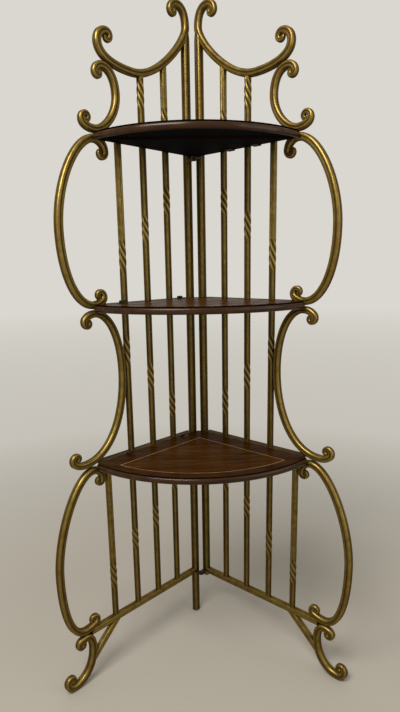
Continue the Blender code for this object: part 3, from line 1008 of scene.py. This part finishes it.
def makeShelf(level):
    radius = stand["shelfRadii"][level]
    width, reach = shelfLook["inlayWidth"], shelfLook["sideReach"]
    arc, side = radius - shelfLook["arcInset"], shelfLook["sideInset"]
    outline = [(0.0, 0.0), (arc - width, 0.0), (arc, 0.0)]
    outline += [(radius + x / 1000, z / 1000) for x, z in shelfLook["moulding"]]
    outline.append((0.0, outline[-1][1]))
    shelf = profileRing(outline)
    shelf.name = f"shelf_{level}_dressed"
    for axis in (0, 1):
        selectSide(shelf, axis)
        bpy.ops.mesh.edge_face_add()
    for axis in (0, 1):
        selectSide(shelf, axis)
        bpy.ops.mesh.extrude_region_move(TRANSFORM_OT_translate={"value": alongAxis(axis, -reach)})
    # the inlaid line's two borders are cut along each straight side
    for axis in (0, 1):
        for place in (side, side + width):
            bpy.ops.mesh.select_all(action="SELECT")
            bpy.ops.mesh.bisect(plane_co=alongAxis(axis, place), plane_no=alongAxis(axis, 1.0))
    # the corner is cut off, which leaves room for the right post as its panel swings
    at = shelfLook["cornerCut"] / 2 - reach
    bpy.ops.mesh.select_all(action="SELECT")
    bpy.ops.mesh.bisect(plane_co=(at, at, 0.0), plane_no=(-1.0, -1.0, 0.0), use_fill=True, clear_outer=True)
    faceOutwards()
    setMaterial(shelf, fieldWood, borderWood, inlayWood, edgeWoodPaintedShade, paintedShadeWood)
    for face in shelf.data.polygons:
        face.material_index = shelfFaceSlot(face, radius)
    selectOnly(shelf)
    bpy.ops.object.shade_smooth_by_angle(angle=math.radians(shelfLook["creaseAngle"]))
    standShelf(shelf, level)
    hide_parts(f"shelf_{level}")
    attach(shelf, f"shelf_{level}")


def makeUnderboard(level):
    # a thin three-cornered board under the shelf, whose front runs from tip to tip
    near = underboard["inset"]
    far = stand["shelfRadii"][level] - underboard["chordInset"] - near
    bpy.ops.object.select_all(action="DESELECT")
    bpy.ops.mesh.primitive_circle_add(vertices=3, fill_type="NGON")
    board = bpy.context.object
    board.name = f"shelf_{level}_underboard"
    for vertex, (x, y) in zip(board.data.vertices, ((near, near), (far, near), (near, far))):
        vertex.co = (x, y, -stand["shelfThickness"] - underboard["thickness"] / 2)
    modifier = board.modifiers.new("thickness", "SOLIDIFY")
    modifier.thickness = underboard["thickness"]
    modifier.offset = 0.0
    bpy.ops.object.modifier_apply(modifier=modifier.name)
    faceOutwards()
    # the board's faces take the near-black painted shade and its front the darkened board wood
    setMaterial(board, paintedShadeWood, boardWoodPaintedShade)
    for face in board.data.polygons:
        face.material_index = 1 if abs(face.normal.z) < shelfLook["flat"] else 0
    standShelf(board, level)
    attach(board, f"shelf_{level}")


for shelfLevel in stand["shelfHeights"]:
    makeShelf(shelfLevel)
    makeUnderboard(shelfLevel)
print("shelves turned")

# The flat rails and the hinges keep their solids and get their finish
for nodeName, node in frame["nodes"].items():
    if nodeName.endswith("_rail") and not nodeName.endswith("base_rail"):
        setMaterial(node, dullBrass)
    elif "leaf" in nodeName or "pin" in nodeName or "lug" in nodeName:
        setMaterial(node, hingeMetal)
print("rails and hinges finished")


# A pale floor that runs out into a plain backdrop, from clearFrom to farTo about the stand
stageLook = {
    "floorHalf": 14.0,
    "floorColour": (0.38, 0.34, 0.275, 1.0),
    "floorRoughness": 0.8,
    "farFloor": (0.56, 0.535, 0.48),
    "backdrop": (0.70, 0.68, 0.63),
    "clearFrom": 0.6,
    "clearTo": 2.4,
    "farTo": 12.6,
    "worldLight": 0.5,
}


def makeFloor():
    bpy.ops.object.select_all(action="DESELECT")
    bpy.ops.mesh.primitive_plane_add(size=2 * stageLook["floorHalf"])
    floor = bpy.context.object
    floor.name = "paleFloor"
    material, tree, shader = newMaterial("paleFloor")
    colour, roughness = stageLook["floorColour"], stageLook["floorRoughness"]
    setInputs(tree, shader, {"Base Color": colour, "Roughness": roughness})
    place = addNode(tree, "ShaderNodeTexCoord", out="Object")
    away = addNode(tree, "ShaderNodeVectorMath", {"operation": "LENGTH"}, {0: place}, out="Value")
    clear = spread(away, stageLook["clearFrom"], stageLook["clearTo"])
    rise = spread(away, stageLook["clearTo"], stageLook["farTo"])
    far = mixColours(tree, rise, stageLook["farFloor"], stageLook["backdrop"])
    plain = addNode(tree, "ShaderNodeEmission", None, {"Color": far, "Strength": 1.0})
    lit = Wire(tree, shader.outputs[0])
    mixed = addNode(tree, "ShaderNodeMixShader", None, {0: clear, 1: lit, 2: plain})
    setInputs(tree, tree.nodes["Material Output"], {"Surface": mixed})
    setMaterial(floor, material)


def makeWorld():
    # camera, glossy and transmitted rays see the backdrop, and the rest a white sky
    world = bpy.data.worlds.new("studio")
    bpy.context.scene.world = world
    world.use_nodes = True
    tree = world.node_tree
    seen = 0.0
    for ray in ("Is Camera Ray", "Is Glossy Ray", "Is Transmission Ray"):
        seen = addNode(tree, "ShaderNodeLightPath", out=ray).maths("MAXIMUM", seen)
    setInputs(tree, tree.nodes["Background"], {
        "Strength": stageLook["worldLight"] + seen * (1.0 - stageLook["worldLight"]),
        "Color": mixColours(tree, seen, (1.0, 1.0, 1.0), stageLook["backdrop"]),
    })


lamps = {
    "keyLight": {"place": (-1.1, -1.8, 3.2), "target": (0.0, 0.0, 1.2), "size": 1.5, "power": 108.0},
    "fillLight": {"place": (2.4, -1.6, 1.6), "target": (0.0, 0.0, 0.8), "size": 2.0, "power": 18.0},
}


def makeLight(name, place, target, size, power):
    light = bpy.data.lights.new(name, "AREA")
    light.size = size
    light.energy = power
    item = bpy.data.objects.new(name, light)
    bpy.context.collection.objects.link(item)
    item.location = place
    item.rotation_euler = (Vector(target) - Vector(place)).to_track_quat("-Z", "Y").to_euler()


# the camera's angles in radians: yaw to the right, pitch downwards, and roll
cameraLook = {
    "place": (-0.0561, -1.4587, 1.1296),
    "yaw": 0.0378,
    "pitch": 0.2245,
    "roll": -0.0168,
    "sensorHeight": 36.0,
    "lens": 28.05,
    "shiftUp": 0.0475,
    "clipEnd": 60.0,
}


def makeCamera(look):
    yaw, pitch, roll = look["yaw"], look["pitch"], look["roll"]
    ahead = Vector((math.sin(yaw) * math.cos(pitch), math.cos(yaw) * math.cos(pitch), -math.sin(pitch)))
    level = Vector((math.cos(yaw), -math.sin(yaw), 0.0))
    above = level.cross(ahead)
    right = math.cos(roll) * level + math.sin(roll) * above
    up = -math.sin(roll) * level + math.cos(roll) * above
    data = bpy.data.cameras.new("photoCamera")
    data.sensor_fit = "VERTICAL"
    data.sensor_height = look["sensorHeight"]
    data.lens = look["lens"]
    data.shift_y = look["shiftUp"]
    data.clip_end = look["clipEnd"]
    camera = bpy.data.objects.new("photoCamera", data)
    bpy.context.collection.objects.link(camera)
    turn = Matrix((right, up, -ahead)).transposed().to_4x4()
    camera.matrix_world = Matrix.Translation(look["place"]) @ turn
    bpy.context.scene.camera = camera


makeFloor()
makeWorld()
for lampName, lamp in lamps.items():
    makeLight(lampName, **lamp)
makeCamera(cameraLook)
bpy.context.scene.view_settings.view_transform = "Standard"
print("stage, lights and camera set")
